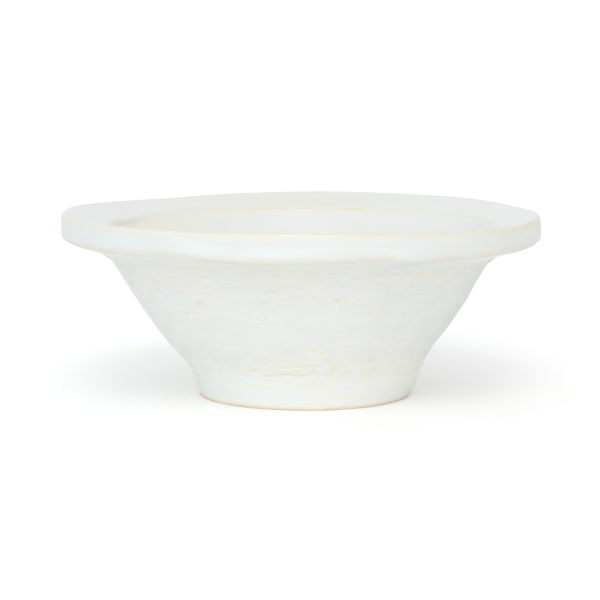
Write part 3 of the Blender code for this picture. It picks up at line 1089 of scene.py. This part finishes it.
def make_floor(stage):
    """A wide plain floor that keeps the bowl's shadow and is white elsewhere."""
    reach = 20.0
    corners = np.array([(-1, -1, 0), (1, -1, 0), (1, 1, 0), (-1, 1, 0)]) * reach
    mesh = bpy.data.meshes.new("studio_floor")
    mesh.from_pydata(corners.tolist(), [], [(0, 1, 2, 3)])
    material = bpy.data.materials.new("studio_floor")
    material.use_nodes = True
    tree = material.node_tree
    shader = tree.nodes["Principled BSDF"]
    shader.inputs["Base Color"].default_value = (*stage.floor_colour, 1.0)
    shader.inputs["Roughness"].default_value = 1.0
    shader.inputs["Specular IOR Level"].default_value = 0.0
    shader.inputs["Emission Color"].default_value = WHITE
    lift = sums(tree, "MULTIPLY", seen_directly(tree), stage.floor_lift)
    tree.links.new(lift, shader.inputs["Emission Strength"])
    mesh.materials.append(material)
    floor = bpy.data.objects.new("studio_floor", mesh)
    bpy.context.scene.collection.objects.link(floor)


def make_sky(stage):
    """Soft light from all round, less from the sides, and plain white where it is seen.

    With x the share of a direction that points right, the strength falls by the square of x plus a lean.
    """
    lean = 0.02
    world = bpy.data.worlds.new("studio_sky")
    world.use_nodes = True
    tree = world.node_tree
    lights = tree.nodes["Background"]
    lights.inputs["Color"].default_value = WHITE
    place = node(tree, "ShaderNodeTexCoord").outputs["Generated"]
    sideways = node(tree, "ShaderNodeSeparateXYZ", {0: place}).outputs["X"]
    aside = sums(tree, "POWER", sums(tree, "ADD", sideways, lean), 2.0)
    kept = sums(tree, "SUBTRACT", 1.0, sums(tree, "MULTIPLY", aside, stage.sky_fall))
    tree.links.new(sums(tree, "MULTIPLY", kept, stage.sky), lights.inputs["Strength"])
    white = node(tree, "ShaderNodeBackground", {"Color": WHITE, "Strength": 1.0})
    shaders = {0: seen_directly(tree), 1: lights.outputs[0], 2: white.outputs[0]}
    mix = node(tree, "ShaderNodeMixShader", shaders)
    tree.links.new(mix.outputs[0], tree.nodes["World Output"].inputs["Surface"])
    bpy.context.scene.world = world


def soft_lamp(name, strength, colour, bearing, rise, breadth):
    """An even lamp far away, at a bearing, a rise above the floor and a breadth, in degrees."""
    lamp = bpy.data.lights.new(name, "SUN")
    lamp.energy = strength
    lamp.color = colour
    lamp.angle = math.radians(breadth)
    made = bpy.data.objects.new(name, lamp)
    made.rotation_euler = (math.radians(90 - rise), 0.0, math.radians(bearing))
    bpy.context.scene.collection.objects.link(made)


def make_lamps(stage):
    """A soft light from above the camera, a broad low one below it, and a cool one from the left."""
    warm = (1.0, 0.99, 0.97)
    cool = (0.70, 0.92, 1.0)
    soft_lamp("key_lamp", stage.key, warm, bearing=-1, rise=48, breadth=26)
    soft_lamp("fill_lamp", stage.fill, warm, bearing=-6, rise=10, breadth=50)
    soft_lamp("side_lamp", stage.side, cool, bearing=-70, rise=25, breadth=50)


def make_camera(stage):
    """The camera at the photographed angle, looking at a point beside the bowl's axis."""
    data = bpy.data.cameras.new("studio_camera")
    data.lens = stage.lens
    data.sensor_width = 36.0
    camera = bpy.data.objects.new("studio_camera", data)
    away = Vector((0.0, -math.cos(stage.pitch), math.sin(stage.pitch)))
    camera.location = Vector((stage.aim_side, 0.0, stage.aim_height)) + away * stage.distance
    camera.rotation_euler = (math.pi / 2 - stage.pitch, 0.0, 0.0)
    bpy.context.scene.collection.objects.link(camera)
    bpy.context.scene.camera = camera


class BOWL_PT_panel(bpy.types.Panel):
    """Lists the bowl's sizes, finish, stage and operators."""

    bl_idname = "BOWL_PT_panel"
    bl_label = "Berry Bowl"
    bl_space_type = "VIEW_3D"
    bl_region_type = "UI"
    bl_category = "Berry Bowl"

    def draw(self, context):
        for settings in (context.scene.bowl_sizes, context.scene.bowl_finish, context.scene.bowl_stage):
            box = self.layout.box()
            for name in settings.__annotations__:
                box.prop(settings, name)
        for operator in OPERATORS:
            self.layout.operator(operator.bl_idname)


SETTINGS = {"bowl_sizes": BowlSizes, "bowl_finish": BowlFinish, "bowl_stage": BowlStage}
OPERATORS = (BOWL_OT_rim_flange, BOWL_OT_wall, BOWL_OT_foot_ring, BOWL_OT_floor_disc, BOWL_OT_stage)
CLASSES = (*SETTINGS.values(), *OPERATORS, BOWL_PT_panel)


def register():
    for kind in CLASSES:
        bpy.utils.register_class(kind)
    for name, kind in SETTINGS.items():
        setattr(bpy.types.Scene, name, PointerProperty(type=kind))


def unregister():
    for name in SETTINGS:
        delattr(bpy.types.Scene, name)
    for kind in reversed(CLASSES):
        bpy.utils.unregister_class(kind)


def main():
    """Register the classes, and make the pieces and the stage."""
    register()
    bpy.ops.bowl.rim_flange()
    bpy.ops.bowl.wall()
    bpy.ops.bowl.foot_ring()
    bpy.ops.bowl.floor_disc()
    bpy.ops.bowl.stage()


if __name__ == "__main__":
    main()
